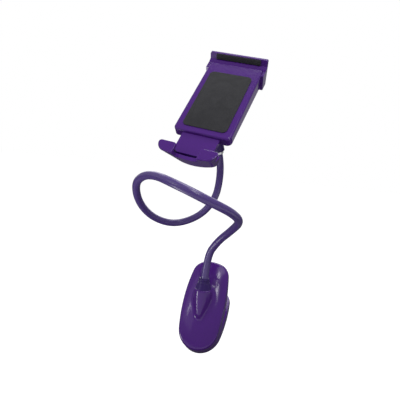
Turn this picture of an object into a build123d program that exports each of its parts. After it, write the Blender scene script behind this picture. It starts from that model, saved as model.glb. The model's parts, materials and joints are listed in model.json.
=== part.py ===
from build123d import *
from math import acos, asin, cos, degrees, radians, sin, sqrt, tan
import os

# Phone holder on a gooseneck: a spring clamp, a bendable arm with one loop,
# a ball joint and a cradle whose lower jaw slides.
# Millimetres, +Z up, origin on the face of the clamp's fixed jaw pad.

# Clearances
fit_gap = 0.05  # pieces that turn or plug into each other, per side
seat_gap = 0.1  # pieces that seat in a pocket
slide_gap = 0.3  # sliding and opening pieces

# Clamp, in its own frame: x across, y from mouth to handles, z up from the grip plane
clamp_pitch = 50.0  # slope of the grip plane above the horizontal
nose_radius = 22.5  # round end at the mouth
nose_tip = 9.0  # from the origin to the tip of the nose
shell_tail = 88.0  # handle end of the upper shell
nose_lean = 7.0  # the sides leave the nose leaning outwards
shell_tail_half = 19.5
tail_bow = 4.5  # how far a handle end bows out
tail_corner = 14.0
shell_wall = 2.4
shell_top = 25.5  # height of the upper shell's crest
shell_crest = 66.5  # place of the crest along the clamp
shell_arc = 157.0  # radius of the crest line
shell_crown = 48.0  # radius across the crest
shell_edge = 3.0  # rounded edge
crest_sweep = 80.0  # angle that the crest arcs are drawn over
rim_flat = 20.0  # the rims are level from the nose to here
rim_rise = 17.0  # height of the upper rim at the handle end
mouth_solid = 14.0  # the noses are solid up to here
jaw_tail = 70.0  # handle end of the lower jaw
jaw_tail_half = 20.5
jaw_bottom = 31.0
jaw_crest = 89.0
jaw_arc = 228.0
jaw_rim_drop = 19.0
pad_gap = 2.5  # between the two pads when the mouth is shut
pad_thick = 3.0
pad_inset = 3.0  # pad edge inside the nose outline
pad_back = 9.0
pad_groove = 0.8
pad_groove_pitch = 2.5
pad_land = 3.0  # plain middle of the upper pad, half its length
pivot_along = 34.0
pin_radius = 2.0
pin_head_radius = 3.2
pin_head = 1.5
ear_radius = 5.0
ear_thick = 3.0
ear_outer = 12.0  # inner side of the upper shell's ears
ear_inner = 8.0  # inner side of the lower jaw's ears
clip_radius = 3.6
clip_thick = 0.8
clip_groove = 0.4
clip_mouth = 2.6
spring_wire = 0.8  # radius of the wire
spring_mean = 3.6  # radius of the coil at the middle of the wire
spring_turns = 6
spring_rest = 10.0  # where the upper leg bears on the boss, below the arm's seat
spring_foot = 55.0  # where the lower leg stands in the lower jaw

# Foot of the arm, upright on the clamp's boss
foot_along = 51.6
foot_height = 32.5
boss_radius = 10.0
boss_rim = 0.5  # straight part of the boss above its round
boss_depth = 26.0
boss_wall = 2.0  # around the foot ferrule, inside the shell
prow_radius = 4.0  # round front of the boss, low on the shell
prow_reach = 8.0  # how far it lies in front of the arm
prow_drop = 28.5  # and below the arm's seat
ferrule_radius = 5.0
foot_ferrule_top = 8.0
foot_grip = 14.0  # length of the arm inside the foot ferrule
ferrule_floor = 8.0
foot_screw_radius = 2.0
foot_screw_head = 3.6
foot_screw_head_height = 2.4
foot_screw_edge = 0.8
foot_screw_hold = 6.0  # length of the screw inside the ferrule
collar_radius = 8.8
collar_top_radius = 6.6
collar_height = 6.5
collar_edge = 0.8
boot_radius = 6.1
boot_height = 5.2
boot_groove = 0.7

# Gooseneck arm
arm_radius = 4.0
core_radius = 2.9

# Ball joint, in its own frame: z away from the cradle's back
ball_radius = 8.5
ball_neck = 3.2
ball_along = -10.0  # place of the ball along the cradle
ball_back = 12.2  # ball centre behind the back cover
ball_tilt = 22.0  # how the stud leans in the socket as shown
ball_swing = 15.0
seat_thick = 1.2
seat_from = 58.0  # polar angles of the seat ring
seat_to = 105.0
lip_angle = 58.5  # polar angle of the nut's lip
socket_radius = 13.0
nut_radius = 16.5
nut_skirt = 7.5
nut_top = 6.6
nut_rim = 12.5
nut_slope = 2.0
nut_grips = 18
nut_grip_radius = 1.6
nut_grip_depth = 0.7
cup_start = 13.0
cup_slope = 2.2
cup_radius = 6.6
cup_end = 26.0
cup_floor = 2.0
arm_ferrule_end = 29.0
arm_ferrule_floor = 2.0

# Cradle, in its own frame: x across, y up along the phone, z towards the phone
cradle_place = (-5.6, 11.2, 255.9)
cradle_yaw = 4.0
cradle_pitch = 50.0
cradle_roll = -10.0
tray_half = 31.0
tray_low = -40.0
tray_high = 66.0
tray_deep_low = 10.0  # depth at the lower end, cover included
tray_deep_high = 15.0
tray_wall = 2.4
tray_corner = 5.0
tray_edge = 2.0
cover_edge = 1.2
tongue_half = 20.0
tongue_thick = 4.0
tongue_top = 12.0
rail_wide = 2.0
rail_top = 45.0
guide_half = 15.0
guide_wide = 2.0
screw_radius = 1.25
screw_head = 2.6
screw_head_height = 1.6
cover_screw_length = 5.0
cover_screw_x = 26.0
cover_screw_low = -33.0
cover_screw_high = 46.0
screw_boss = 3.0
cap_screw_length = 9.0
cap_screw_x = 19.0
cap_screw_y = 59.0
cap_wall = 2.5
cap_low = 52.0
cap_flare_low = 64.0  # outer end of the top jaw at its back
cap_flare_high = 76.5  # and at its lip
cap_skirt = 1.2  # front edge of the cap's sides behind the rest face
cap_slant = 4.0  # the cap's sides start higher at their front
cap_corner = 1.6
lip_height = 6.5
lip_thick = 4.0
lip_root = 70.4
lip_edge = 1.2
lip_pad_half = 26.0
lip_pad_thick = 1.2
lip_pad_margin = 0.5
tray_pad_half = 24.0
tray_pad_low = -33.0
tray_pad_high = 49.0
tray_pad_thick = 0.8
leaf_wide = 8.0
leaf_thick = 0.5
leaf_foot = 10.0
leaf_low = -10.0
leaf_high = 36.0
leaf_bump = -4.0

# Sliding lower jaw: a flared scoop with two claws
scoop_back = -17.0
scoop_front = 11.4
scoop_top = -61.0
scoop_back_half = 25.0
scoop_back_low = -67.5
scoop_back_bow = 6.0
scoop_back_corner = 9.0
scoop_front_half = 31.0
scoop_front_low = -79.5
scoop_front_bow = 2.5
scoop_front_corner = 11.0
scoop_side_wall = 3.0
scoop_end_wall = 4.2
scoop_floor = 2.5
claw_thick = 3.0
claw_top = -65.0
claw_corner = 3.0
claw_edge = 1.0
claw_gap_half = 12.5
gap_floor = 2.0  # the wall between the claws ends here
phone_end = -69.2
claw_pad_from = 13.5
claw_pad_to = 26.0

# Route of the arm between its foot and the ball joint
arm_rise = 35.0  # straight rise above the foot
arm_route = [
    (13, 1, 117),
    (30, -13, 134),
    (42, -35, 148),
    (39, -62, 160),
    (26, -80, 169),
    (6, -87, 178),
    (-14, -81, 184),
    (-32, -66, 187),
    (-51, -53, 185),
    (-67, -39, 172),
    (-72, -17, 149),
    (-66, 10, 129),
    (-47, 30, 121),
    (-22, 41, 132),
    (-5, 41, 154),
    (-1, 40, 177),
]
arm_lead = 37.0  # straight lead out of the ball stud, from the ball's centre
route_share = 0.45

# Worked out from the sizes above
pivot_height = -pad_gap / 2
upper_rim = pivot_height + slide_gap / 2
lower_rim = pivot_height - slide_gap / 2
nose_centre = nose_radius - nose_tip
tray_slope = (tray_deep_high - tray_deep_low) / (tray_high - tray_low)
tongue_front = -tray_wall - slide_gap
tongue_back = tongue_front - tongue_thick
cap_half = tray_half + seat_gap + cap_wall
claw_inner = scoop_front - claw_thick
seat_radius = ball_radius + fit_gap + seat_thick
cup_sphere = seat_radius + fit_gap
arm_low = foot_ferrule_top - foot_grip
foot_bore = ferrule_floor + 2 * fit_gap - arm_low
boss_floor = boss_depth - foot_bore
boss_core = ferrule_radius + fit_gap + boss_wall
boss_shoulder = boss_radius + boss_rim
foot_screw_length = boss_floor + foot_screw_hold
big = 300.0  # larger than any piece, for cutting tools


def tray_back(y):
    return -tray_deep_low - tray_slope * (y - tray_low)


def jaw_floor(y):
    return jaw_arc - jaw_bottom - sqrt((jaw_arc - shell_wall) ** 2 - (y - jaw_crest) ** 2)


# Frames of the groups
ball_depth = ball_back - tray_back(ball_along)
clamp_frame = Location((0, 0, 0), (clamp_pitch, 0, 0))
foot_frame = Location((clamp_frame * Location((0, foot_along, foot_height))).position)
cradle_frame = (
    Location(cradle_place, (0, 0, cradle_yaw))
    * Location((0, 0, 0), (cradle_pitch, 0, 0))
    * Location((0, 0, 0), (0, 0, cradle_roll))
)
socket_frame = cradle_frame * Location((0, ball_along, -ball_depth), (180, 0, 0))
stud_frame = socket_frame * Location((0, 0, 0), (-ball_tilt, ball_swing, 0))

os.makedirs("parts", exist_ok=True)


def write(piece, label, frame):
    placed = piece.part.moved(frame)
    placed.label = label
    export_step(placed, f"parts/{label}.step")


# Clamp shells


def clamp_plan(tail, tail_half, wall):
    """Plan of a clamp half: a round nose, bowed sides and a bowed handle end."""
    nose_half = nose_radius - wall
    end_half = tail_half - wall
    shoulder = tail - tail_bow - wall
    lean = radians(nose_lean)
    nose_end = nose_centre - nose_half * sin(lean)
    with BuildSketch() as plan:
        with BuildLine():
            nose = ThreePointArc(
                (-nose_half * cos(lean), nose_end), (0, nose_centre - nose_half), (nose_half * cos(lean), nose_end)
            )
            TangentArc(nose @ 1, (end_half, shoulder), tangent=nose % 1)
            TangentArc(nose @ 0, (-end_half, shoulder), tangent=-(nose % 0))
            ThreePointArc((end_half, shoulder), (0, tail - wall), (-end_half, shoulder))
        make_face()
        fillet(plan.vertices().group_by(Axis.Y)[-1], tail_corner - wall)
    return plan.sketch


def crowned_block(plan, crest, height, arc, crown, side):
    """A plan raised to a crest that is one arc along the clamp and another across it."""
    reach = nose_radius + shell_wall
    shoulder = arc - crown + sqrt(crown**2 - reach**2)
    lean = asin(reach / crown)
    axle = (0, crest, side * (height - arc))
    start = radians(crest_sweep / 2)
    first = Plane(origin=axle, x_dir=(1, 0, 0), z_dir=(0, -side * cos(start), -sin(start)))
    with BuildPart() as block:
        with BuildSketch():
            add(plan)
        extrude(amount=shell_top + jaw_bottom, both=True)
        with BuildSketch(first):
            with BuildLine():
                Spline(
                    (-reach, shoulder),
                    (0, arc),
                    (reach, shoulder),
                    tangents=[(cos(lean), sin(lean)), (cos(lean), -sin(lean))],
                )
                Polyline((reach, shoulder), (reach, arc / 2), (-reach, arc / 2), (-reach, shoulder))
            make_face()
        revolve(axis=Axis(axle, (-side, 0, 0)), revolution_arc=crest_sweep, mode=Mode.INTERSECT)
    return block.part


def hinge_ears(side, reach, inner):
    """Two hinge ears, each with a round end at the pivot and a web towards its shell."""
    with BuildPart() as ears:
        with BuildSketch(Plane.YZ) as profile:
            with Locations((pivot_along, pivot_height)):
                Circle(ear_radius)
            with Locations((pivot_along, pivot_height + side * reach / 2)):
                Rectangle(2 * ear_radius, reach)
        extrude(amount=inner + ear_thick, both=True)
        extrude(profile.sketch, amount=inner, both=True, mode=Mode.SUBTRACT)
    return ears.part


def pad_plan(grow):
    """A jaw pad follows the round nose and ends square."""
    with BuildSketch() as plan:
        with Locations((0, nose_centre)):
            Circle(nose_radius - pad_inset + grow)
        with Locations((0, pad_back + grow)):
            Rectangle(big, big, align=(Align.CENTER, Align.MAX), mode=Mode.INTERSECT)
    return plan.sketch


boss_axis = (0, sin(radians(clamp_pitch)), cos(radians(clamp_pitch)))
boss_plane = Plane(origin=(0, foot_along, foot_height), x_dir=(1, 0, 0), z_dir=boss_axis)
prow_start = boss_plane.from_local_coords(Vector(0, 0, -boss_shoulder))
prow_end = boss_plane.from_local_coords(Vector(0, -prow_reach, -prow_drop))
prow_line = prow_end - prow_start
prow_taper = degrees(asin((boss_radius - prow_radius) / prow_line.length))
hang = (Align.CENTER, Align.CENTER, Align.MAX)
stand = (Align.CENTER, Align.CENTER, Align.MIN)

with BuildPart() as boss:
    with Locations(boss_plane):
        Cylinder(boss_radius, boss_shoulder, align=hang)
    with BuildSketch(Plane(origin=prow_start, x_dir=prow_line, z_dir=(1, 0, 0))):
        with BuildLine():
            round_back = CenterArc((0, 0), boss_radius, 90 - prow_taper, 90 + prow_taper)
            round_front = CenterArc((prow_line.length, 0), prow_radius, 0, 90 - prow_taper)
            Line(round_back @ 0, round_front @ 1)
            Line(round_back @ 1, round_front @ 0)
        make_face()
    revolve(axis=Axis(prow_start, prow_line))

with BuildPart() as shell_hollow:
    add(
        crowned_block(
            clamp_plan(shell_tail, shell_tail_half, shell_wall),
            shell_crest,
            shell_top - shell_wall,
            shell_arc - shell_wall,
            shell_crown - shell_wall,
            1,
        )
    )
    with BuildSketch(Plane.XZ.offset(-mouth_solid)):
        Rectangle(big, big)
    extrude(amount=big, mode=Mode.SUBTRACT)
    add(hinge_ears(1, shell_top + ear_radius, ear_outer), mode=Mode.SUBTRACT)
    with Locations(boss_plane):
        Cylinder(boss_core, boss_depth, align=hang, mode=Mode.SUBTRACT)

with BuildPart() as clamp_upper_shell:
    add(
        crowned_block(
            clamp_plan(shell_tail, shell_tail_half, 0), shell_crest, shell_top, shell_arc, shell_crown, 1
        )
    )
    with BuildSketch(Plane.YZ):
        with BuildLine():
            Polyline(
                (-nose_tip - slide_gap, upper_rim),
                (rim_flat, upper_rim),
                (shell_tail, rim_rise),
                (shell_tail + big, rim_rise),
                (shell_tail + big, big),
                (-nose_tip - slide_gap, big),
                close=True,
            )
        make_face()
    extrude(amount=big, both=True, mode=Mode.INTERSECT)
    crest_face = clamp_upper_shell.faces().sort_by(SortBy.AREA)[-1]
    fillet(crest_face.edges(), shell_edge)
    add(boss.part)
    add(shell_hollow.part, mode=Mode.SUBTRACT)
    add(hinge_ears(1, 2 * ear_radius, ear_outer))
    with BuildSketch(Plane.YZ.offset(-nose_radius)):
        with Locations((pivot_along, pivot_height)):
            Circle(pin_radius + fit_gap)
    extrude(amount=2 * nose_radius, mode=Mode.SUBTRACT)
    with BuildSketch(Plane.XY.offset(pad_thick)):
        add(pad_plan(seat_gap))
    extrude(amount=-2 * pad_thick, mode=Mode.SUBTRACT)
    with Locations(boss_plane):
        Cylinder(ferrule_radius + fit_gap, foot_bore, align=hang, mode=Mode.SUBTRACT)
        Cylinder(foot_screw_radius + seat_gap, boss_depth, align=hang, mode=Mode.SUBTRACT)
write(clamp_upper_shell, "clamp_upper_shell", clamp_frame)

with BuildPart() as jaw_hollow:
    add(
        crowned_block(
            clamp_plan(jaw_tail, jaw_tail_half, shell_wall),
            jaw_crest,
            jaw_bottom - shell_wall,
            jaw_arc - shell_wall,
            shell_crown - shell_wall,
            -1,
        )
    )
    with BuildSketch(Plane.XZ.offset(-mouth_solid)):
        Rectangle(big, big)
    extrude(amount=big, mode=Mode.SUBTRACT)
    add(hinge_ears(-1, jaw_bottom + ear_radius, ear_inner), mode=Mode.SUBTRACT)

with BuildPart() as clamp_lower_jaw:
    add(crowned_block(clamp_plan(jaw_tail, jaw_tail_half, 0), jaw_crest, jaw_bottom, jaw_arc, shell_crown, -1))
    with BuildSketch(Plane.YZ):
        with BuildLine():
            Polyline(
                (-nose_tip - slide_gap, lower_rim),
                (rim_flat, lower_rim),
                (jaw_tail, -jaw_rim_drop),
                (jaw_tail + big, -jaw_rim_drop),
                (jaw_tail + big, -big),
                (-nose_tip - slide_gap, -big),
                close=True,
            )
        make_face()
    extrude(amount=big, both=True, mode=Mode.INTERSECT)
    keel_face = clamp_lower_jaw.faces().sort_by(SortBy.AREA)[-1]
    fillet(keel_face.edges(), shell_edge)
    add(jaw_hollow.part, mode=Mode.SUBTRACT)
    add(hinge_ears(-1, 2 * ear_radius, ear_inner))
    with BuildSketch(Plane.YZ.offset(-ear_outer)):
        with Locations((pivot_along, pivot_height)):
            Circle(pin_radius + fit_gap)
    extrude(amount=2 * ear_outer, mode=Mode.SUBTRACT)
    with BuildSketch(Plane.XY.offset(-pad_gap - pad_thick)):
        add(pad_plan(seat_gap))
    extrude(amount=2 * pad_thick, mode=Mode.SUBTRACT)
write(clamp_lower_jaw, "clamp_lower_jaw", clamp_frame)

# Jaw pads

with BuildPart() as upper_jaw_pad:
    with BuildSketch():
        add(pad_plan(0))
    extrude(amount=pad_thick)
    for step in (-1, 1):
        with BuildSketch(Plane.YZ):
            with Locations((step * (pad_land + pad_groove_pitch / 2), 0)):
                Rectangle(pad_groove, 2 * pad_groove)
        extrude(amount=nose_radius, both=True, mode=Mode.SUBTRACT)
write(upper_jaw_pad, "upper_jaw_pad", clamp_frame)

with BuildPart() as lower_jaw_pad:
    with BuildSketch(Plane.XY.offset(-pad_gap)):
        add(pad_plan(0))
    extrude(amount=-pad_thick)
    for step in range(-1, 3):
        with BuildSketch(Plane.YZ):
            with Locations((step * pad_groove_pitch, -pad_gap)):
                Rectangle(pad_groove, 2 * pad_groove)
        extrude(amount=nose_radius, both=True, mode=Mode.SUBTRACT)
write(lower_jaw_pad, "lower_jaw_pad", clamp_frame)

# Hinge pin, its clip and the torsion spring on it

ear_face = ear_outer + ear_thick
clip_seat = ear_face + seat_gap
pin_end = clip_seat + 2 * clip_thick
groove_radius = pin_radius - clip_groove
pivot_axis = Axis((0, pivot_along, pivot_height), (1, 0, 0))
pivot_plane = Plane(origin=(0, pivot_along, pivot_height), x_dir=(1, 0, 0), z_dir=(0, -1, 0))

with BuildPart() as hinge_pin:
    with BuildSketch(pivot_plane):
        with BuildLine():
            Polyline(
                (-pin_end, 0),
                (-pin_end, pin_radius),
                (-clip_seat - clip_thick - fit_gap, pin_radius),
                (-clip_seat - clip_thick - fit_gap, groove_radius),
                (-clip_seat + fit_gap, groove_radius),
                (-clip_seat + fit_gap, pin_radius),
                (ear_face + seat_gap, pin_radius),
                (ear_face + seat_gap, pin_head_radius),
                (ear_face + seat_gap + pin_head, pin_head_radius),
                (ear_face + seat_gap + pin_head, 0),
                close=True,
            )
        make_face()
    revolve(axis=pivot_axis)
write(hinge_pin, "hinge_pin", clamp_frame)

with BuildPart() as pin_clip:
    with BuildSketch(Plane.YZ.offset(-clip_seat - clip_thick)):
        with Locations((pivot_along, pivot_height)):
            Circle(clip_radius)
            Circle(groove_radius + fit_gap, mode=Mode.SUBTRACT)
        with Locations((pivot_along, pivot_height - clip_radius)):
            Rectangle(clip_mouth, 2 * clip_radius, mode=Mode.SUBTRACT)
    extrude(amount=clip_thick)
write(pin_clip, "pin_clip", clamp_frame)

coil_half = spring_turns * spring_wire
leg_side = coil_half - spring_wire
upper_leg_start = Vector(leg_side, pivot_along, pivot_height + spring_mean)
upper_leg_end = boss_plane.from_local_coords(Vector(leg_side, boss_core + spring_wire + slide_gap, -spring_rest))
lower_leg_start = Vector(-leg_side, pivot_along, pivot_height - spring_mean)
lower_leg_end = Vector(-leg_side, spring_foot, jaw_floor(spring_foot) + spring_wire + slide_gap)
spring_legs = [(upper_leg_start, upper_leg_end - upper_leg_start), (lower_leg_start, lower_leg_end - lower_leg_start)]

with BuildPart() as clamp_spring:
    with BuildSketch(pivot_plane):
        outer = spring_mean + spring_wire
        with Locations((0, spring_mean)):
            Rectangle(2 * coil_half, 2 * spring_wire)
        for turn in range(1, spring_turns):
            with Locations((2 * turn * spring_wire - coil_half, outer)):
                Rectangle(spring_wire, spring_wire, rotation=45, mode=Mode.SUBTRACT)
    revolve(axis=pivot_axis)
    for start, leg in spring_legs:
        with BuildSketch(Plane(origin=start, x_dir=(1, 0, 0), z_dir=leg)):
            Circle(spring_wire)
        extrude(amount=leg.length)
write(clamp_spring, "clamp_spring", clamp_frame)

# Foot of the arm, in the foot's frame: z = 0 on the boss

ferrule_low = fit_gap - foot_bore

with BuildPart() as lower_ferrule:
    with BuildSketch(Plane.XY.offset(ferrule_low)):
        Circle(ferrule_radius)
    extrude(amount=foot_ferrule_top - ferrule_low)
    with Locations((0, 0, arm_low - fit_gap)):
        Cylinder(arm_radius + fit_gap, 2 * foot_grip, align=stand, mode=Mode.SUBTRACT)
    with Locations((0, 0, ferrule_low)):
        Cylinder(foot_screw_radius + fit_gap, foot_screw_hold + seat_gap, align=stand, mode=Mode.SUBTRACT)
write(lower_ferrule, "lower_ferrule", foot_frame)

with BuildPart() as foot_screw:
    with Locations((0, 0, -boss_depth)):
        Cylinder(foot_screw_head, foot_screw_head_height, align=hang)
        Cylinder(foot_screw_radius, foot_screw_length, align=stand)
    fillet(foot_screw.edges().group_by(Axis.Z)[0], foot_screw_edge)
write(foot_screw, "foot_screw", foot_frame)

with BuildPart() as foot_collar:
    Cone(collar_radius, collar_top_radius, collar_height, align=stand)
    fillet(foot_collar.edges().group_by(Axis.Z)[-1], collar_edge)
    Cylinder(ferrule_radius + fit_gap, collar_height, align=stand, mode=Mode.SUBTRACT)
write(foot_collar, "foot_collar", foot_frame)

boot_neck = boot_radius - boot_groove
boot_rib = boot_height / 2

with BuildPart() as foot_boot:
    with BuildSketch(Plane.XZ):
        with BuildLine():
            Polyline(
                (ferrule_radius + fit_gap, collar_height),
                (boot_radius, collar_height),
                (boot_radius, collar_height + boot_rib - boot_groove),
                (boot_neck, collar_height + boot_rib),
                (boot_radius - boot_groove / 2, collar_height + boot_rib + boot_groove),
                (boot_neck - boot_groove / 2, collar_height + boot_height),
                (arm_radius + fit_gap, collar_height + boot_height),
                (arm_radius + fit_gap, foot_ferrule_top + fit_gap),
                (ferrule_radius + fit_gap, foot_ferrule_top + fit_gap),
                close=True,
            )
        make_face()
    revolve(axis=Axis.Z)
write(foot_boot, "foot_boot", foot_frame)

# Gooseneck, in the part's own frame


def along(frame, distance):
    """Point on a frame's z axis."""
    return (frame * Location((0, 0, distance))).position


arm_ferrule_start = cup_start + cup_floor + fit_gap
arm_high = arm_ferrule_start + arm_ferrule_floor + fit_gap
arm_points = [along(foot_frame, arm_low), along(foot_frame, arm_rise)]
arm_points += [Vector(*point) for point in arm_route]
arm_points += [along(stud_frame, arm_lead), along(stud_frame, arm_high)]
arm_radii = []
for before, corner, after in zip(arm_points, arm_points[1:], arm_points[2:]):
    turn = (corner - before).get_angle(after - corner)
    run = min((corner - before).length, (after - corner).length)
    arm_radii.append(route_share * run / tan(radians(turn / 2)))

with BuildPart() as gooseneck_sleeve:
    with BuildLine() as arm_line:
        FilletPolyline(*arm_points, radius=arm_radii)
    with BuildSketch(Plane(origin=arm_points[0])):
        Circle(arm_radius)
        Circle(core_radius + fit_gap, mode=Mode.SUBTRACT)
    sweep(path=arm_line.wires()[0])
write(gooseneck_sleeve, "gooseneck_sleeve", Location())

with BuildPart() as gooseneck_core:
    with BuildSketch(Plane(origin=arm_points[0])):
        Circle(core_radius)
    sweep(path=arm_line.wires()[0])
write(gooseneck_core, "gooseneck_core", Location())

# Ball joint: the stud in its own frame, the ring and nut in the socket's frame


def on_sphere(radius, angle):
    """Point of a sphere's section, by its angle from the z axis."""
    return (radius * sin(radians(angle)), radius * cos(radians(angle)))


with BuildPart() as upper_ferrule:
    with Locations((0, 0, arm_ferrule_start)):
        Cylinder(ferrule_radius, arm_ferrule_end - arm_ferrule_start, align=stand)
    with Locations((0, 0, arm_high - fit_gap)):
        Cylinder(arm_radius + fit_gap, arm_ferrule_end, align=stand, mode=Mode.SUBTRACT)
write(upper_ferrule, "upper_ferrule", stud_frame)

with BuildPart() as ball_stud:
    Sphere(ball_radius)
    with BuildSketch(Plane.XZ):
        with BuildLine():
            Polyline(
                (0, 0),
                (ball_neck, 0),
                (ball_neck, cup_start),
                (cup_radius, cup_start + cup_slope),
                (cup_radius, cup_end),
                (0, cup_end),
                close=True,
            )
        make_face()
    revolve(axis=Axis.Z)
    with Locations((0, 0, cup_start + cup_floor)):
        Cylinder(ferrule_radius + fit_gap, cup_end, align=stand, mode=Mode.SUBTRACT)
write(ball_stud, "ball_stud", stud_frame)

with BuildPart() as ball_seat_ring:
    with BuildSketch(Plane.XZ):
        with BuildLine():
            seat_mid = (seat_from + seat_to) / 2
            inner = ball_radius + fit_gap
            inside = ThreePointArc(on_sphere(inner, seat_from), on_sphere(inner, seat_mid), on_sphere(inner, seat_to))
            outside = ThreePointArc(
                on_sphere(seat_radius, seat_from), on_sphere(seat_radius, seat_mid), on_sphere(seat_radius, seat_to)
            )
            Line(inside @ 0, outside @ 0)
            Line(inside @ 1, outside @ 1)
        make_face()
    revolve(axis=Axis.Z)
write(ball_seat_ring, "ball_seat_ring", socket_frame)

lip_start = degrees(acos(slide_gap / cup_sphere))

with BuildPart() as lock_nut:
    with BuildSketch(Plane.XZ):
        with BuildLine():
            lip = ThreePointArc(
                on_sphere(cup_sphere, lip_start),
                on_sphere(cup_sphere, (lip_start + lip_angle) / 2),
                on_sphere(cup_sphere, lip_angle),
            )
            Polyline(
                lip @ 1,
                (nut_rim, nut_top),
                (nut_radius, nut_top - nut_slope),
                (nut_radius, -nut_skirt),
                (socket_radius + fit_gap, -nut_skirt),
                (socket_radius + fit_gap, slide_gap),
                lip @ 0,
            )
        make_face()
    revolve(axis=Axis.Z)
    with PolarLocations(nut_radius + nut_grip_radius - nut_grip_depth, nut_grips):
        Cylinder(nut_grip_radius, big, mode=Mode.SUBTRACT)
write(lock_nut, "lock_nut", socket_frame)

# Cradle


def tray_block(grow, front, back):
    """The tray's plan, grown, between a flat front and a plane parallel to the sloping back."""
    with BuildPart() as block:
        with BuildSketch(Plane.XY.offset(front)):
            with Locations((0, (tray_low + tray_high) / 2)):
                RectangleRounded(2 * (tray_half + grow), tray_high - tray_low + 2 * grow, tray_corner + grow)
        extrude(amount=-big)
        with BuildSketch(Plane.YZ):
            with BuildLine():
                Polyline(
                    (tray_low - big, tray_back(tray_low - big) + back),
                    (tray_high + big, tray_back(tray_high + big) + back),
                    (tray_high + big, big),
                    (tray_low - big, big),
                    close=True,
                )
            make_face()
        extrude(amount=big, both=True, mode=Mode.INTERSECT)
    return block.part


cover_screw_places = [
    (hand * cover_screw_x, along_tray) for hand in (1, -1) for along_tray in (cover_screw_low, cover_screw_high)
]
cap_screw_places = [(hand * cap_screw_x, cap_screw_y) for hand in (1, -1)]
head_recess = screw_head_height + seat_gap
channel_half = tongue_half + slide_gap
channel_back = tongue_back - slide_gap

with BuildPart() as tray:
    add(tray_block(0, 0, tray_wall))
    fillet(tray.faces().sort_by(Axis.Z)[-1].edges(), tray_edge)
    add(tray_block(-tray_wall, -tray_wall, 0), mode=Mode.SUBTRACT)
    with BuildSketch(Plane.XY.offset(-tray_wall)):
        for hand in (1, -1):
            with Locations((hand * (channel_half + rail_wide / 2), rail_top)):
                Rectangle(rail_wide, rail_top - tray_low - tray_wall / 2, align=(Align.CENTER, Align.MAX))
        with Locations(*cover_screw_places, *cap_screw_places):
            Circle(screw_boss)
    extrude(amount=-tray_deep_high)
    add(tray_block(0, 0, tray_wall), mode=Mode.INTERSECT)
    with BuildSketch(Plane.XZ.offset(-tray_low)):
        with Locations((0, (tongue_front + slide_gap + channel_back) / 2)):
            Rectangle(2 * channel_half, tongue_front + slide_gap - channel_back)
    extrude(amount=-2 * tray_wall, mode=Mode.SUBTRACT)
    for across, up in cover_screw_places:
        with Locations((across, up, tray_back(up) + head_recess)):
            Cylinder(screw_radius + fit_gap, cover_screw_length + seat_gap, align=stand, mode=Mode.SUBTRACT)
    for across, up in cap_screw_places:
        with Locations((across, up, tray_back(up) - cap_wall + head_recess)):
            Cylinder(screw_radius + fit_gap, cap_screw_length + seat_gap, align=stand, mode=Mode.SUBTRACT)
write(tray, "tray", cradle_frame)

with BuildPart() as back_cover:
    add(tray_block(0, 0, 0))
    fillet(back_cover.faces().sort_by(Axis.Z)[0].edges(), cover_edge)
    add(tray_block(seat_gap, seat_gap, tray_wall), mode=Mode.SUBTRACT)
    with BuildSketch(Plane.XY.offset(channel_back)):
        for hand in (1, -1):
            with Locations((hand * guide_half, rail_top)):
                Rectangle(guide_wide, rail_top - tray_low - 2 * tray_wall, align=(Align.CENTER, Align.MAX))
    extrude(until=Until.NEXT, dir=(0, 0, -1))
    with Locations((0, ball_along, -ball_depth)):
        Cylinder(socket_radius, ball_back + tray_wall / 2, align=stand)
        Sphere(cup_sphere, mode=Mode.SUBTRACT)
    for across, up in cover_screw_places:
        with Locations((across, up, tray_back(up) + head_recess)):
            Cylinder(screw_head + seat_gap, tray_wall, align=hang, mode=Mode.SUBTRACT)
            Cylinder(screw_radius + fit_gap, tray_wall, align=stand, mode=Mode.SUBTRACT)
    for across, up in cap_screw_places:
        with Locations((across, up, tray_back(up))):
            Cylinder(screw_radius + fit_gap, big, mode=Mode.SUBTRACT)
write(back_cover, "back_cover", cradle_frame)

with BuildPart() as cover_screws:
    for across, up in cover_screw_places:
        with Locations((across, up, tray_back(up) + head_recess)):
            Cylinder(screw_head, screw_head_height, align=hang)
            Cylinder(screw_radius, cover_screw_length, align=stand)
write(cover_screws, "cover_screws", cradle_frame)

cap_back = -cap_wall - seat_gap

with BuildPart() as top_jaw:
    with BuildSketch(Plane.YZ):
        with BuildLine():
            Polyline(
                (cap_low, tray_back(cap_low) + cap_back),
                (cap_flare_low, tray_back(cap_flare_low) + cap_back),
                (cap_flare_high, lip_height),
                (cap_flare_high - lip_thick, lip_height),
                (lip_root, 0),
                (tray_high + seat_gap, -cap_skirt),
                (cap_low + cap_slant, -cap_skirt),
                close=True,
            )
        make_face()
    extrude(amount=cap_half, both=True)
    end_corners = top_jaw.faces().sort_by(Axis.Y)[-1].edges().filter_by(Axis.X, reverse=True)
    fillet(end_corners, cap_corner)
    fillet(top_jaw.edges().group_by(Axis.Z)[-1].sort_by(Axis.Y)[-1], lip_edge)
    add(tray_block(seat_gap, 0, -seat_gap), mode=Mode.SUBTRACT)
    for across, up in cap_screw_places:
        with Locations((across, up, tray_back(up) - cap_wall + head_recess)):
            Cylinder(screw_head + seat_gap, 2 * cap_wall, align=hang, mode=Mode.SUBTRACT)
            Cylinder(screw_radius + fit_gap, 2 * cap_wall, align=stand, mode=Mode.SUBTRACT)
write(top_jaw, "top_jaw", cradle_frame)

with BuildPart() as top_jaw_screws:
    for across, up in cap_screw_places:
        with Locations((across, up, tray_back(up) - cap_wall + head_recess)):
            Cylinder(screw_head, screw_head_height, align=hang)
            Cylinder(screw_radius, cap_screw_length, align=stand)
write(top_jaw_screws, "top_jaw_screws", cradle_frame)

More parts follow.
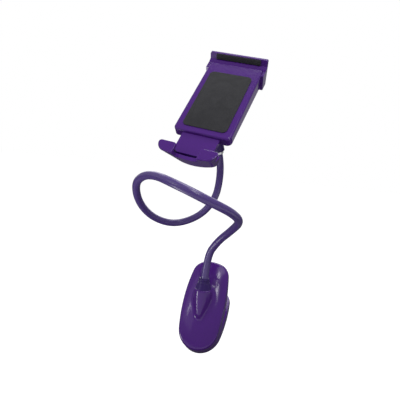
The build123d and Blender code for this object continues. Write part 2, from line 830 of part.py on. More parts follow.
lip_lean = (cap_flare_high - lip_thick - lip_root) / lip_height
lip_pad_low = lip_root + lip_lean * lip_pad_margin - fit_gap
lip_pad_high = lip_root + lip_lean * (lip_height - lip_pad_margin) - fit_gap

with BuildPart() as lip_pad:
    with BuildSketch(Plane.YZ):
        with BuildLine():
            Polyline(
                (lip_pad_low, lip_pad_margin),
                (lip_pad_high, lip_height - lip_pad_margin),
                (lip_pad_high - lip_pad_thick, lip_height - lip_pad_margin),
                (lip_pad_low - lip_pad_thick, lip_pad_margin),
                close=True,
            )
        make_face()
    extrude(amount=lip_pad_half, both=True)
write(lip_pad, "lip_pad", cradle_frame)

with BuildPart() as tray_pad:
    with BuildSketch():
        with Locations((0, (tray_pad_low + tray_pad_high) / 2)):
            RectangleRounded(2 * tray_pad_half, tray_pad_high - tray_pad_low, tray_corner)
    extrude(amount=tray_pad_thick)
write(tray_pad, "tray_pad", cradle_frame)


def cover_face(y):
    return tray_back(y) + tray_wall + seat_gap


leaf_points = [
    (leaf_high, cover_face(leaf_high)),
    (leaf_high - leaf_foot, cover_face(leaf_high - leaf_foot)),
    (leaf_bump, tongue_back - seat_gap - leaf_thick),
    (leaf_low, cover_face(leaf_low) + leaf_thick),
]

with BuildPart() as slide_spring:
    with BuildSketch(Plane.YZ):
        with BuildLine():
            Polyline(*leaf_points, *[(y, z + leaf_thick) for y, z in reversed(leaf_points)], close=True)
        make_face()
    extrude(amount=leaf_wide / 2, both=True)
write(slide_spring, "slide_spring", cradle_frame)

# Sliding lower jaw


def scoop_outline(height, half, low, top, bow, corner):
    with BuildSketch(Plane.XY.offset(height)) as outline:
        with BuildLine():
            Polyline((half, low + bow), (half, top), (-half, top), (-half, low + bow))
            ThreePointArc((-half, low + bow), (0, low), (half, low + bow))
        make_face()
        fillet(outline.vertices().group_by(Axis.Y)[0], corner)
    return outline.sketch.face()


def scoop(side_wall, end_wall):
    """The flared body of the lower jaw, from its back outline to its front outline."""
    back = scoop_outline(
        scoop_back,
        scoop_back_half - side_wall,
        scoop_back_low + end_wall,
        tray_low + end_wall,
        scoop_back_bow,
        scoop_back_corner - side_wall,
    )
    front = scoop_outline(
        scoop_front,
        scoop_front_half - side_wall,
        scoop_front_low + end_wall,
        tray_low + end_wall,
        scoop_front_bow,
        scoop_front_corner - side_wall,
    )
    with BuildPart() as body:
        loft([back, front])
    return body.part


with BuildPart() as scoop_hollow:
    add(scoop(scoop_side_wall, scoop_end_wall))
    with BuildSketch(Plane.XY.offset(claw_inner)):
        Rectangle(big, big)
    extrude(amount=big, mode=Mode.SUBTRACT)
    with BuildSketch(Plane.XY.offset(scoop_back + scoop_floor)):
        Rectangle(big, big)
    extrude(amount=-big, mode=Mode.SUBTRACT)

with BuildPart() as bottom_jaw:
    add(scoop(0, 0))
    add(scoop_hollow.part, mode=Mode.SUBTRACT)
    with BuildSketch(Plane.XZ.offset(-scoop_top)):
        Rectangle(big, big)
    extrude(amount=-big, mode=Mode.SUBTRACT)
    with BuildSketch(Plane.XY.offset(-slide_gap)):
        with Locations((0, phone_end)):
            Rectangle(big, big, align=(Align.CENTER, Align.MIN))
    extrude(amount=claw_inner + slide_gap, mode=Mode.SUBTRACT)
    with BuildSketch(Plane.XY.offset(claw_inner)):
        with Locations((0, claw_top)):
            Rectangle(big, big, align=(Align.CENTER, Align.MIN))
    extrude(amount=big, mode=Mode.SUBTRACT)
    with BuildSketch(Plane.XY.offset(gap_floor)):
        with Locations((0, claw_top)):
            Rectangle(2 * claw_gap_half, big, align=Align.CENTER)
    extrude(amount=big, mode=Mode.SUBTRACT)
    with BuildSketch(Plane.XY.offset(tongue_front)):
        with Locations((0, tongue_top)):
            tongue_end = scoop_back_low + scoop_end_wall / 2
            Rectangle(2 * tongue_half, tongue_top - tongue_end, align=(Align.CENTER, Align.MAX))
    extrude(amount=-tongue_thick)
    claw_tops = bottom_jaw.faces().filter_by_position(Axis.Y, claw_top - fit_gap, claw_top + fit_gap)
    fillet(claw_tops.edges().filter_by(Axis.X, reverse=True), claw_corner)
    fillet(bottom_jaw.faces().group_by(Axis.Z)[-1].edges(), claw_edge)
write(bottom_jaw, "bottom_jaw", cradle_frame)

with BuildPart() as claw_pads:
    add(scoop(scoop_side_wall + fit_gap, scoop_end_wall + fit_gap))
    with BuildSketch(Plane.XY.offset(slide_gap)):
        for hand in (1, -1):
            with Locations((hand * (claw_pad_from + claw_pad_to) / 2, phone_end)):
                Rectangle(claw_pad_to - claw_pad_from, big, align=(Align.CENTER, Align.MAX))
    extrude(amount=claw_inner - 2 * slide_gap, mode=Mode.INTERSECT)
write(claw_pads, "claw_pads", cradle_frame)
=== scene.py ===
import bpy
import bmesh
import json
import math
from mathutils import Matrix, Vector
from mathutils.kdtree import KDTree


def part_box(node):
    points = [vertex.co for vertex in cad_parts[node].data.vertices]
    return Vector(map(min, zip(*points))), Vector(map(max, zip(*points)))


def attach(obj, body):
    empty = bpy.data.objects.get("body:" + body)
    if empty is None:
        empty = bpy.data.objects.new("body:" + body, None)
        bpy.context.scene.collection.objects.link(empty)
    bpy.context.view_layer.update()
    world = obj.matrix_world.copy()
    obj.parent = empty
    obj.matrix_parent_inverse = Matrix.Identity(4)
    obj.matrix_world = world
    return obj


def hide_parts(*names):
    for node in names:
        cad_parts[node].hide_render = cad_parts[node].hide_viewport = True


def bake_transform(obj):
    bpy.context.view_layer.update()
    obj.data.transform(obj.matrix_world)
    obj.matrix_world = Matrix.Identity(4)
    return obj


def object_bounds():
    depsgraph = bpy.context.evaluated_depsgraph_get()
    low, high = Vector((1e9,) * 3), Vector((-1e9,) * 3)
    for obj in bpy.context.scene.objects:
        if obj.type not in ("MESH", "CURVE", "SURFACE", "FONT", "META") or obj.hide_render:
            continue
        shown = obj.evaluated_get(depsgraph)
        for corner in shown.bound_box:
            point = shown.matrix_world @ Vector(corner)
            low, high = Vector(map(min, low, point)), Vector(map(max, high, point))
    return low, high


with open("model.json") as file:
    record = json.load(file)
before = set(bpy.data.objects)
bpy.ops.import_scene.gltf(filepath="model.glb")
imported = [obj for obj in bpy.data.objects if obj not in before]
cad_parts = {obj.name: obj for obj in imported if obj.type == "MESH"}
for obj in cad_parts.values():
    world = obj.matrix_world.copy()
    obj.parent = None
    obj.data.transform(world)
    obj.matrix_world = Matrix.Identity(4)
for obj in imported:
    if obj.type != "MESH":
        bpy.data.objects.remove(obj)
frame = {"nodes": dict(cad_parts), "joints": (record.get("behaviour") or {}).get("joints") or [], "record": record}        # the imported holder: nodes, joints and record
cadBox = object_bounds()
joints = {joint["name"]: joint for joint in frame["joints"]}
mounts = {mount["name"]: mount for mount in frame["record"]["mounts"]}
scene = bpy.context.scene
mm = 0.001
print("holder loaded with", len(frame["nodes"]), "CAD pieces")


# Places of the groups, each a matrix from millimetres to the holder's own frame
def placeOf(origin, sideways, forward, upward):
    turn = Matrix((sideways, forward, upward)).transposed().to_4x4()
    return Matrix.Translation(origin) @ turn @ Matrix.Scale(mm, 4)


def uprightAt(node):  # on a round node's lower end, unturned
    low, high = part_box(node)
    foot = ((low.x + high.x) / 2, (low.y + high.y) / 2, low.z)
    return Matrix.Translation(foot) @ Matrix.Scale(mm, 4)


restPad = {"thick": 0.8, "up": 8}  # the mount on the tray pad's face, from the cradle's own zero
cradleX = Vector(joints["ball_tilt"]["axis"])
cradleZ = Vector(joints["cradle_spin"]["axis"])
cradleY = -Vector(joints["jaw_slide"]["axis"])
padPlace = placeOf(Vector(mounts["phone_rest"]["pos_m"]), cradleX, cradleY, cradleZ)
cradlePlace = padPlace @ Matrix.Translation((0, -restPad["up"], -restPad["thick"]))
clampX = Vector(joints["jaw_hinge"]["axis"])
clampZ = -Vector(mounts["jaw_grip"]["axis"])
hingePlace = placeOf(Vector(joints["jaw_hinge"]["pos_m"]), clampX, clampZ.cross(clampX), clampZ)
inPlace = Matrix.Identity(4)  # for shapes made in metres, where they stay


# Shader maths
class Wire:  # one socket of a material, so that sums on it become Math nodes
    def __init__(self, tree, socket=None):
        self.tree = tree
        self.socket = socket

    def node(self, kind, settings, sockets, output=0):
        made = self.tree.nodes.new(kind)
        for name, value in settings.items():
            setattr(made, name, value)
        for name, value in sockets.items():
            if isinstance(value, Wire):
                self.tree.links.new(value.socket, made.inputs[name])
            else:
                made.inputs[name].default_value = value
        return Wire(self.tree, made.outputs[output] if made.outputs else None)

    def maths(self, operation, first, second):
        return self.node("ShaderNodeMath", {"operation": operation}, {0: first, 1: second})

    def __add__(self, other):
        return self.maths("ADD", self, other)

    __radd__ = __add__

    def __sub__(self, other):
        return self.maths("SUBTRACT", self, other)

    def __rsub__(self, other):
        return self.maths("SUBTRACT", other, self)

    def __mul__(self, other):
        return self.maths("MULTIPLY", self, other)

    __rmul__ = __mul__

    def mixed(self, first, second):  # two colours, by this factor
        return self.node("ShaderNodeMix", {"data_type": "RGBA"}, {0: self, 6: first, 7: second}, 2)


def newFinish(name):
    material = bpy.data.materials.new(name)
    material.use_nodes = True
    material.node_tree.nodes.clear()
    return material, Wire(material.node_tree)


def closeFinish(wire, sockets):
    shader = wire.node("ShaderNodeBsdfPrincipled", {}, sockets)
    wire.node("ShaderNodeOutputMaterial", {}, {"Surface": shader})


def noise(wire, spot, scale, detail=3.0):
    return wire.node("ShaderNodeTexNoise", {}, {"Vector": spot, "Scale": scale, "Detail": detail})


def bumped(wire, height, strength, depth):
    return wire.node("ShaderNodeBump", {}, {"Height": height, "Strength": strength, "Distance": depth})


# Moulded plastics, sleeve and rubber: faint flow clouds, a polish that varies and a fine skin
skinDepth = 0.0002  # metres


def mouldedFinish(name, look):
    material, wire = newFinish(name)
    spot = wire.node("ShaderNodeTexCoord", {}, {}, "Object")
    cloud = noise(wire, spot, look["cloud"])
    skin = noise(wire, spot, look["grain"], detail=2.0)
    smear = noise(wire, spot, look["smear"], detail=4.0)
    closeFinish(wire, {
        "Base Color": cloud.mixed((*look["deep"], 1), (*look["pale"], 1)),
        "Roughness": look["rough"] + look["roughSpread"] * (smear - 0.5),  # noise lies about a half
        "Normal": bumped(wire, skin, look["skin"], skinDepth),
        "Specular IOR Level": look["shine"],
    })
    return material


purpleGloss = mouldedFinish("purpleGloss", {
    "deep": (0.049, 0.0105, 0.137), "pale": (0.066, 0.0145, 0.178), "cloud": 22, "smear": 60,
    "rough": 0.14, "roughSpread": 0.05, "grain": 120, "skin": 0.01, "shine": 0.26,
})
purpleSatin = mouldedFinish("purpleSatin", {
    "deep": (0.054, 0.03, 0.15), "pale": (0.07, 0.04, 0.18), "cloud": 35, "smear": 90,
    "rough": 0.3, "roughSpread": 0.1, "grain": 500, "skin": 0.02, "shine": 0.4,
})
darkPurple = mouldedFinish("darkPurple", {
    "deep": (0.023, 0.008, 0.082), "pale": (0.03, 0.011, 0.102), "cloud": 60, "smear": 120,
    "rough": 0.36, "roughSpread": 0.12, "grain": 700, "skin": 0.03, "shine": 0.2,
})
blackRubber = mouldedFinish("blackRubber", {
    "deep": (0.009, 0.009, 0.01), "pale": (0.017, 0.017, 0.019), "cloud": 140, "smear": 200,
    "rough": 0.72, "roughSpread": 0.2, "grain": 2600, "skin": 0.3, "shine": 0.3,
})
nylonWhite = mouldedFinish("nylonWhite", {
    "deep": (0.55, 0.53, 0.47), "pale": (0.64, 0.62, 0.57), "cloud": 120, "smear": 150,
    "rough": 0.45, "roughSpread": 0.15, "grain": 1800, "skin": 0.08, "shine": 0.4,
})


def foamFinish():
    look = {
        "deep": (0.012, 0.012, 0.014), "pale": (0.03, 0.03, 0.034), "cells": 1700, "patches": 120,
        "cellShare": 0.7, "patchShare": 0.5, "rough": 0.9, "worn": 0.15, "dent": 0.5, "depth": 0.0003,
        "shine": 0.2,
    }
    material, wire = newFinish("darkFoam")
    spot = wire.node("ShaderNodeTexCoord", {}, {}, "Object")
    cells = wire.node("ShaderNodeTexVoronoi", {}, {"Vector": spot, "Scale": look["cells"]}, "Distance")
    patch = noise(wire, spot, look["patches"])
    shade = cells * look["cellShare"] + patch * look["patchShare"]
    closeFinish(wire, {
        "Base Color": shade.mixed((*look["deep"], 1), (*look["pale"], 1)),
        "Roughness": look["rough"] - look["worn"] * patch,
        "Normal": bumped(wire, cells, look["dent"], look["depth"]),
        "Specular IOR Level": look["shine"],
    })
    return material


def steelFinish():
    look = {
        "dark": (0.42, 0.42, 0.44), "light": (0.62, 0.62, 0.64), "drawn": (40, 40, 1600), "stains": 300,
        "streakShare": 0.5, "stainShare": 0.5, "rough": 0.24, "dull": 0.25,
        "scratch": 0.08, "depth": 0.0001,
    }
    material, wire = newFinish("plainSteel")
    spot = wire.node("ShaderNodeTexCoord", {}, {}, "Object")
    stretched = wire.node("ShaderNodeMapping", {}, {"Vector": spot, "Scale": look["drawn"]})
    streak = noise(wire, stretched, 1.0, detail=4.0)
    stain = noise(wire, spot, look["stains"])
    shade = streak * look["streakShare"] + stain * look["stainShare"]
    closeFinish(wire, {
        "Base Color": shade.mixed((*look["dark"], 1), (*look["light"], 1)),
        "Metallic": 1.0,
        "Roughness": look["rough"] + look["dull"] * stain,
        "Normal": bumped(wire, streak, look["scratch"], look["depth"]),
    })
    return material


darkFoam = foamFinish()
plainSteel = steelFinish()
finishOf = {
    "purple_gloss": purpleGloss, "purple_satin": purpleSatin, "dark_purple": darkPurple,
    "black_rubber": blackRubber, "black_foam": darkFoam, "nylon": nylonWhite, "steel": plainSteel,
}
print("finishes made:", ", ".join(finishOf))

# CAD pieces that keep their own shape
cadFinish = {
    "purple_gloss": ["clamp_lower_jaw", "tray", "back_cover", "top_jaw", "bottom_jaw"],
    "dark_purple": ["foot_collar", "lock_nut", "ball_stud"],
    "nylon": ["ball_seat_ring"],
    "steel": ["hinge_pin", "pin_clip", "lower_ferrule", "upper_ferrule", "slide_spring"],
}
for slotName, names in cadFinish.items():
    for name in names:
        mesh = frame["nodes"][name].data
        mesh.materials.clear()
        mesh.materials.append(finishOf[slotName])

# New pieces
seamGap = 0.000002  # metres: corners nearer than this are joined
cadGap = 0.000005   # the same, on a copy of a CAD piece
turnGap = 0.001     # the same in millimetres, on a turned shape


def only(kind, geometry):
    return [item for item in geometry if isinstance(item, kind)]


def addPiece(name, shape, place, slotName, body, replaced, smoothAngle=40):
    bmesh.ops.transform(shape, matrix=place, verts=shape.verts)
    bmesh.ops.remove_doubles(shape, verts=shape.verts, dist=seamGap)
    bmesh.ops.recalc_face_normals(shape, faces=shape.faces)
    mesh = bpy.data.meshes.new(name)
    shape.to_mesh(mesh)
    shape.free()
    mesh.shade_smooth()
    mesh.set_sharp_from_angle(angle=math.radians(smoothAngle))
    mesh.materials.append(finishOf[slotName])
    piece = bpy.data.objects.new(name, mesh)
    scene.collection.objects.link(piece)
    if body:
        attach(piece, body)
    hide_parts(*replaced)
    return piece


def cadCopy(node):  # a CAD piece's own mesh, its loose triangles joined
    shape = bmesh.new()
    shape.from_mesh(frame["nodes"][node].data)
    bmesh.ops.remove_doubles(shape, verts=shape.verts, dist=cadGap)
    return shape


def settled(helper):  # the shape that a curve or a modifier gives; its helper object goes
    scene.collection.objects.link(helper)
    bpy.context.view_layer.update()
    ready = helper.evaluated_get(bpy.context.evaluated_depsgraph_get())
    mesh = bpy.data.meshes.new_from_object(ready)
    bpy.data.objects.remove(helper)
    shape = bmesh.new()
    shape.from_mesh(mesh)
    bpy.data.meshes.remove(mesh)
    return shape


def roundEdges(shape, edges, width, segments=3):
    bmesh.ops.bevel(
        shape, geom=edges, offset=width, offset_type="OFFSET", affect="EDGES",
        segments=segments, profile=0.5, material=-1, clamp_overlap=True,
    )


def turned(profile, steps):  # a round piece from its half section, radius then height
    shape = bmesh.new()
    corners = [shape.verts.new((radius, 0, height)) for radius, height in profile]
    edges = [shape.edges.new(pair) for pair in zip(corners, corners[1:])]
    bmesh.ops.spin(
        shape, geom=corners + edges, cent=(0, 0, 0), axis=(0, 0, 1),
        angle=2 * math.pi, steps=steps, use_merge=True,
    )
    bmesh.ops.remove_doubles(shape, verts=shape.verts, dist=turnGap)
    return shape


# Gooseneck, on one smooth line through the route's points
arm = {
    "radius": 4.0,
    "line": [
        (0, 8.27, 54.42), (0, 8.27, 95.42),
        (13, 1, 117), (30, -13, 134), (42, -35, 148), (39, -62, 160), (26, -80, 169), (6, -87, 178),
        (-14, -81, 183), (-32, -66, 185), (-51, -53, 183), (-67, -39, 172), (-72, -17, 149),
        (-66, 10, 129), (-47, 30, 121), (-22, 41, 132), (-5, 41, 154), (-1, 40, 177),
    ],
    "lead": 37.0,   # the last two points, out from the ball's centre
    "end": 17.1,
    "order": 3, "steps": 18, "sides": 10,   # fineness of the line and of its round section
    "bendFrom": 0.0765, "bendTo": 0.2065,
}


def makeArm():
    ball = Vector(joints["ball_tilt"]["pos_m"])
    low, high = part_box("upper_ferrule")
    out = ((low + high) / 2 - ball).normalized()
    points = [Vector(point) * mm for point in arm["line"]]
    points += [ball + out * arm["lead"] * mm, ball + out * arm["end"] * mm]
    curve = bpy.data.curves.new("armLine", "CURVE")
    curve.dimensions = "3D"
    spline = curve.splines.new("NURBS")
    spline.points.add(len(points) - 1)
    for knot, point in zip(spline.points, points):
        knot.co = (*point, 1)
    spline.order_u = arm["order"]
    spline.use_endpoint_u = True
    spline.resolution_u = arm["steps"]
    curve.bevel_depth = arm["radius"] * mm
    curve.bevel_resolution = arm["sides"]
    curve.use_fill_caps = True
    shape = settled(bpy.data.objects.new("armLine", curve))
    replaced = ["gooseneck_sleeve", "gooseneck_core"]
    sleeve = addPiece("armSleeve", shape, inPlace, "purple_satin", None, replaced)
    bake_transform(sleeve)


makeArm()
print("gooseneck made")

# Upper shell of the clamp, with the foot of its boss run out into the crown
shell = {
    "voxel": 0.5, "skim": 10,                  # an even mesh, lightly smoothed all over
    "crown": 0.7, "crease": 10,                # the boss's root: a crease this sharp against the crown
    "reach": [11, 9, 7.5, 6, 4.5, 3.5],        # smoothed again this far from the root
    "passes": 30, "ease": 0.5,
}


def makeShell():
    shape = cadCopy("clamp_upper_shell")
    creases = [edge for edge in shape.edges if edge.is_manifold and not edge.is_convex]
    creases = [edge for edge in creases if edge.calc_face_angle() > math.radians(shell["crease"])]
    root = [
        edge for edge in creases
        if any(face.normal.dot(clampZ) > shell["crown"] for face in edge.link_faces)
    ]
    print("boss root edges:", len(root))
    spots = KDTree(len(root))
    for number, edge in enumerate(root):
        spots.insert((edge.verts[0].co + edge.verts[1].co) / 2, number)
    spots.balance()
    mesh = bpy.data.meshes.new("shellCast")
    shape.to_mesh(mesh)
    shape.free()
    cast = bpy.data.objects.new("shellCast", mesh)
    remesh = cast.modifiers.new("remesh", "REMESH")
    remesh.mode = "VOXEL"
    remesh.voxel_size = shell["voxel"] * mm
    shape = settled(cast)
    away = {vert: spots.find(vert.co)[2] for vert in shape.verts}
    stages = [(shape.verts[:], shell["skim"])]
    for reach in shell["reach"]:
        near = [vert for vert in shape.verts if away[vert] < reach * mm]
        stages.append((near, shell["passes"]))
    for verts, passes in stages:
        for step in range(passes):
            bmesh.ops.smooth_vert(
                shape, verts=verts, factor=shell["ease"],
                use_axis_x=True, use_axis_y=True, use_axis_z=True,
            )
    addPiece("upperShell", shape, inPlace, "purple_gloss", "clamp", ["clamp_upper_shell"], smoothAngle=60)


makeShell()
print("upper shell made")

# Ribbed boot where the arm leaves its foot
boot = {
    "section": [  # radius and height above the collar
        (5.05, 0), (6.1, 0), (6.1, 2.3), (5.35, 2.7), (5.8, 3.1), (5.8, 4.4), (4.9, 5.2), (4.05, 5.2),
        (4.05, 1.55), (5.05, 1.55), (5.05, 0),
    ],
    "steps": 72, "round": 0.35,
    "outside": 4.8, "above": 0.1, "level": 0.01,   # level edges past this radius and height are rounded
}


def makeBoot():
    shape = turned(boot["section"], boot["steps"])
    outside = [
        edge for edge in shape.edges
        if all(vert.co.xy.length > boot["outside"] and vert.co.z > boot["above"] for vert in edge.verts)
    ]
    rings = [edge for edge in outside if abs(edge.verts[0].co.z - edge.verts[1].co.z) < boot["level"]]
    roundEdges(shape, rings, boot["round"])
    addPiece("footBoot", shape, uprightAt("foot_boot"), "dark_purple", "clamp", ["foot_boot"])


makeBoot()
print("foot boot made")

# Torsion spring on the hinge pin, its legs tangent to the coil
spring = {
    "wire": 0.8, "coil": 3.6, "side": 4.0, "turns": 4,
    "rest": (15.18, 21.08),   # end of the leg on the boss, from the pin
    "foot": (21.0, -23.67),   # end of the leg in the lower jaw
    "steps": 30, "sides": 16,
    "give": 0.75,
}


def makeSpring():
    wire, coil, side = spring["wire"], spring["coil"], spring["side"]
    rest, foot = Vector(spring["rest"]), Vector(spring["foot"])
    start = math.atan2(rest.y, rest.x) + math.acos(coil / rest.length)
    end = math.atan2(foot.y, foot.x) - math.acos(coil / foot.length) + 2 * math.pi
    sweep = end - start + 2 * math.pi * spring["turns"]
    steps = round(spring["steps"] * sweep / (2 * math.pi))
    shape = bmesh.new()
    begin = Matrix.Translation((side, 0, 0)) @ Matrix.Rotation(start, 4, "X")
    place = begin @ Matrix.Translation((0, coil, 0))
    ring = bmesh.ops.create_circle(shape, radius=wire, segments=spring["sides"], matrix=place)["verts"]
    first = list({edge for vert in ring for edge in vert.link_edges})
    last = bmesh.ops.spin(
        shape, geom=ring + first, cent=(0, 0, 0), axis=(1, 0, 0), dvec=(-2 * side / steps, 0, 0),
        angle=sweep, steps=steps, use_merge=False,
    )["geom_last"]
    ends = [
        (first, rest - coil * Vector((math.cos(start), math.sin(start)))),
        (only(bmesh.types.BMEdge, last), foot - coil * Vector((math.cos(end), math.sin(end)))),
    ]
    for edges, leg in ends:
        grown = bmesh.ops.extrude_edge_only(shape, edges=edges)["geom"]
        bmesh.ops.translate(shape, verts=only(bmesh.types.BMVert, grown), vec=(0, leg.x, leg.y))
    bmesh.ops.holes_fill(shape, edges=[edge for edge in shape.edges if edge.is_boundary])
    made = addPiece("clampSpring", shape, hingePlace, "steel", None, ["clamp_spring"], smoothAngle=60)
    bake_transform(made)


makeSpring()
print("clamp spring made")


# Cross-recess screws
def screwShape(look):
    head, tall, edge = look["head"], look["tall"], look["edge"]
    shank, length = look["shank"], look["length"]
    shape = turned([
        (0, -length), (shank - edge, -length), (shank, edge - length),
        (shank, 0), (head, 0), (head, tall - edge), (head - edge, tall),
    ], look["steps"])
    rim = [item for item in shape.edges if item.is_boundary]
    wide, reach = look["slot"] / 2, look["reach"]
    quarter = [Vector((reach, -wide, tall)), Vector((reach, wide, tall)), Vector((wide, wide, tall))]
    turns = [Matrix.Rotation(math.pi / 2 * step, 3, "Z") for step in range(4)]
    corners = [shape.verts.new(turn @ point) for turn in turns for point in quarter]
    cross = [shape.edges.new(pair) for pair in zip(corners, corners[1:] + corners[:1])]
    bmesh.ops.bridge_loops(shape, edges=rim + cross)
    sunk = bmesh.ops.extrude_edge_only(shape, edges=cross)["geom"]
    floor = only(bmesh.types.BMVert, sunk)
    bmesh.ops.translate(shape, verts=floor, vec=(0, 0, -look["deep"]))
    bmesh.ops.scale(shape, verts=floor, vec=(look["taper"], look["taper"], 1))
    opening = [item for item in only(bmesh.types.BMEdge, sunk) if item.is_boundary]
    bmesh.ops.edgeloop_fill(shape, edges=opening)
    return shape


def repeated(shape, places):  # a copy of the shape at each place
    first = shape.verts[:] + shape.edges[:] + shape.faces[:]
    for place in places:
        made = bmesh.ops.duplicate(shape, geom=first)["geom"]
        bmesh.ops.transform(shape, matrix=place, verts=only(bmesh.types.BMVert, made))
    bmesh.ops.delete(shape, geom=only(bmesh.types.BMVert, first), context="VERTS")
    return shape


smallScrew = {
    "head": 2.6, "tall": 1.6, "shank": 1.25, "edge": 0.3, "steps": 48,
    "slot": 0.7, "reach": 1.5, "deep": 0.9, "taper": 0.6,
}
screwSets = [
    {
        "name": "coverScrews", "node": "cover_screws", "body": "cradle", "place": cradlePlace,
        "look": {**smallScrew, "length": 5.0},
        "at": [(26, -33, -8.63), (26, 46, -12.357), (-26, -33, -8.63), (-26, 46, -12.357)],
    },
    {
        "name": "topJawScrews", "node": "top_jaw_screws", "body": "cradle", "place": cradlePlace,
        "look": {**smallScrew, "length": 9.0},
        "at": [(19, 59, -15.47), (-19, 59, -15.47)],
    },
    {
        "name": "footScrew", "node": "foot_screw", "body": "clamp", "place": uprightAt("foot_screw"),
        "look": {
            "head": 3.6, "tall": 2.4, "shank": 2.0, "edge": 0.5, "steps": 48, "length": 17.9,
            "slot": 0.9, "reach": 2.1, "deep": 1.3, "taper": 0.6,
        },
        "at": [(0, 0, 2.4)],
    },
]


def makeScrews():
    over = Matrix.Rotation(math.pi, 4, "X")   # the heads point away from the pieces they hold
    for screws in screwSets:
        places = [Matrix.Translation(spot) @ over for spot in screws["at"]]
        shape = repeated(screwShape(screws["look"]), places)
        replaced = [screws["node"]]
        addPiece(screws["name"], shape, screws["place"], "steel", screws["body"], replaced, smoothAngle=30)


makeScrews()
print("screws made:", sum(len(screws["at"]) for screws in screwSets))

# Foam and rubber pads, with softened edges
padFaces = {"flat": 1, "sharp": 35, "smooth": 50}  # degrees between faces
pads = [
    {
        "name": "trayPad", "node": "tray_pad", "slot": "black_foam", "body": "cradle",
        "edge": 0.3, "fill": 0.9,
    },
    {
        "name": "lipPad", "node": "lip_pad", "slot": "black_foam", "body": "cradle",
        "edge": 0.4, "fill": 0.9,
    },
    {
        "name": "clawPads", "node": "claw_pads", "slot": "black_foam", "body": "bottom_jaw",
        "edge": 0.25, "fill": 0.9,
    },
    {
        "name": "upperJawPad", "node": "upper_jaw_pad", "slot": "black_rubber", "body": "clamp",
        "edge": 0.25, "fill": 1,
    },
    {
        "name": "lowerJawPad", "node": "lower_jaw_pad", "slot": "black_rubber", "body": "clamp_jaw",
        "edge": 0.25, "fill": 1,
    },
]


def makePads():
    flat, sharp, smooth = padFaces["flat"], padFaces["sharp"], padFaces["smooth"]
    for pad in pads:
        shape = cadCopy(pad["node"])
        bmesh.ops.dissolve_limit(
            shape, angle_limit=math.radians(flat), verts=shape.verts, edges=shape.edges,
        )
        solid = [edge for edge in shape.edges if edge.is_manifold]
        corners = [edge for edge in solid if edge.calc_face_angle() > math.radians(sharp)]
        roundEdges(shape, corners, pad["edge"] * mm)
        made = addPiece(pad["name"], shape, inPlace, pad["slot"], pad["body"], [pad["node"]], smooth)


makePads()
print("pads made:", len(pads))

# Camera, light and floor
view = {
    "place": (0.11206, -0.3961, 0.21906), "turn": 17.136, "down": 8.395, "roll": 4.9,
    "lens": 36, "sensor": 36, "near": 0.01,
}


def makeCamera():
    data = bpy.data.cameras.new("camera")
    data.sensor_width = view["sensor"]
    data.lens = view["lens"]
    data.clip_start = view["near"]
    camera = bpy.data.objects.new("camera", data)
    scene.collection.objects.link(camera)
    turn = Matrix.Rotation(math.radians(view["turn"]), 4, "Z")
    down = Matrix.Rotation(math.radians(90 - view["down"]), 4, "X")
    roll = Matrix.Rotation(math.radians(view["roll"]), 4, "Z")
    camera.matrix_world = Matrix.Translation(view["place"]) @ turn @ down @ roll
    scene.camera = camera


middle = (0, 0, 0.16)  # where the lamps point, if they have no aim of their own
lamps = [  # widths and heights in metres
    {"name": "topLamp", "place": (0.05, 0.3, 1.05), "size": (0.6, 0.5), "watts": 5.5},
    {"name": "handleLamp", "place": (0.27, -0.27, 0.98), "size": (0.36, 0.25), "watts": 0.8},
    {"name": "keyLamp", "place": (0.27, -0.52, 0.8), "size": (0.1, 0.5), "watts": 2.8},
    {"name": "leftLamp", "place": (-0.66, -0.6, 0.6), "size": (0.7, 1.0), "watts": 1.4},
    {"name": "leftStrip", "place": (-0.66, -0.5, 0.4), "size": (0.06, 0.3), "watts": 0.5},
    {"name": "backLamp", "place": (-0.3, 0.8, 0.5), "size": (0.8, 0.8), "watts": 4.0},
    {  # cards that lie on the floor and light upwards
        "name": "floorCard", "place": (0.05, -0.39, -0.055), "aim": (0.05, -0.39, 1),
        "size": (1.2, 0.55), "watts": 2.2,
    },
    {
        "name": "rightCard", "place": (0.48, 0.05, -0.055), "aim": (0.48, 0.05, 1),
        "size": (0.4, 0.44), "watts": 0.6,
    },
    {  # a bright line to the left of them, turned so that it runs out from the boss
        "name": "floorStrip", "place": (-0.31, -0.17, -0.053), "aim": (-0.31, -0.17, 1),
        "size": (0.04, 0.35), "watts": 0.7, "spin": -61,
    },
]


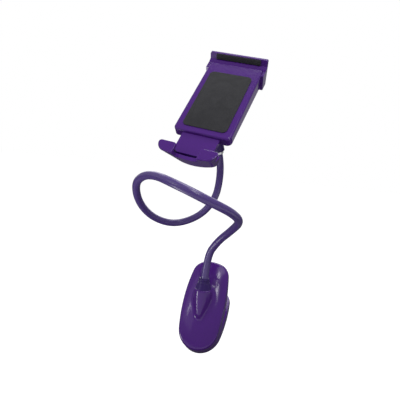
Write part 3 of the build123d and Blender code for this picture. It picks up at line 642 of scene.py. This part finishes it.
def makeLamps():
    for lamp in lamps:
        data = bpy.data.lights.new(lamp["name"], "AREA")
        data.shape = "RECTANGLE"
        data.size, data.size_y = lamp["size"]
        data.energy = lamp["watts"]
        made = bpy.data.objects.new(lamp["name"], data)
        made.location = lamp["place"]
        aim = Vector(lamp.get("aim", middle))
        made.rotation_euler = (aim - made.location).to_track_quat("-Z", "Y").to_euler()
        made.rotation_euler.z += math.radians(lamp.get("spin", 0))
        scene.collection.objects.link(made)


polishShare = 0.05  # a polish shows this much of the white around it, so that the rims stay dark


def seenRays(wire):  # 1 on rays that show the background
    names = ("Is Camera Ray", "Is Glossy Ray", "Is Transmission Ray")
    seen, polish, clear = [wire.node("ShaderNodeLightPath", {}, {}, name) for name in names]
    return seen + polishShare * polish + clear


def makeWorld():
    sky = {"light": 0.45, "shown": 1.0}
    world = bpy.data.worlds.new("studio")
    world.use_nodes = True
    world.node_tree.nodes.clear()
    scene.world = world
    wire = Wire(world.node_tree)
    strength = sky["light"] + (sky["shown"] - sky["light"]) * seenRays(wire)
    light = wire.node("ShaderNodeBackground", {}, {"Color": (1, 1, 1, 1), "Strength": strength})
    wire.node("ShaderNodeOutputWorld", {}, {"Surface": light})


def makeFloor():
    floor = {"half": 3.0, "below": 0.05, "bounce": 0.04, "paint": 0.8, "glow": 0.8, "white": 1.19}
    shape = bmesh.new()
    bmesh.ops.create_grid(shape, x_segments=2, y_segments=2, size=floor["half"])
    mesh = bpy.data.meshes.new("floor")
    shape.to_mesh(mesh)
    shape.free()
    made = bpy.data.objects.new("floor", mesh)
    made.location.z = cadBox[0][2] - floor["below"]
    scene.collection.objects.link(made)
    material, wire = newFinish("whiteFloor")
    bounce, paint = [
        wire.node("ShaderNodeBsdfDiffuse", {}, {"Color": (grey, grey, grey, 1)})
        for grey in (floor["bounce"], floor["paint"])
    ]
    glow = wire.node("ShaderNodeEmission", {}, {"Color": (1, 1, 1, 1), "Strength": floor["white"]})
    shown = wire.node("ShaderNodeMixShader", {}, {0: floor["glow"], 1: paint, 2: glow})
    both = wire.node("ShaderNodeMixShader", {}, {0: seenRays(wire), 1: bounce, 2: shown})
    wire.node("ShaderNodeOutputMaterial", {}, {"Surface": both})
    mesh.materials.append(material)


makeCamera()
makeLamps()
makeWorld()
makeFloor()
scene.view_settings.view_transform = "Standard"
print("camera, lamps and floor set")
